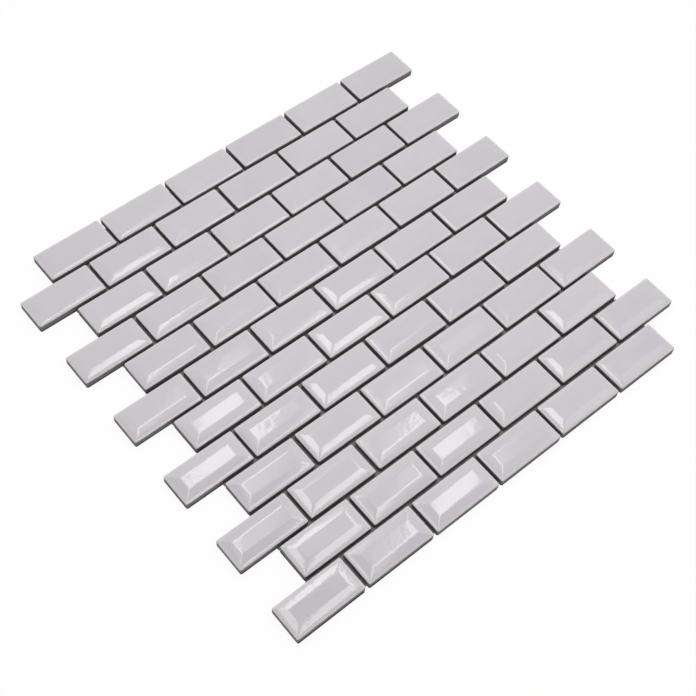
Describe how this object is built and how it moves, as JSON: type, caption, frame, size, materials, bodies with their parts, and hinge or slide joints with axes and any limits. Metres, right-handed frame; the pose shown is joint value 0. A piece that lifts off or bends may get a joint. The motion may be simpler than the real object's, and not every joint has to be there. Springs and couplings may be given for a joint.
{
  "type": "brick bond mosaic tile sheet",
  "caption": "Flat mosaic sheet of small bevelled glazed brick tiles in staggered half bond with open joints, held on a backing net, for walls and floors.",
  "frame": {"origin": "middle of the sheet at the underside of its backing net", "axes": "+X along the courses, +Y across them towards the course at the back of the picture, +Z out of the glazed face"},
  "size_m": [0.323, 0.298, 0.0061],
  "materials": {
    "tile": "gloss",
    "net": "matte"
  },
  "bodies": {
    "root": {"tile_course_01": "tile", "tile_course_02": "tile", "tile_course_03": "tile", "tile_course_04": "tile", "tile_course_05": "tile", "tile_course_06": "tile", "tile_course_07": "tile", "tile_course_08": "tile", "tile_course_09": "tile", "tile_course_10": "tile", "tile_course_11": "tile", "tile_course_12": "tile", "net_strip_01": "net", "net_strip_02": "net", "net_strip_03": "net", "net_strip_04": "net"}
  },
  "joints": []
}
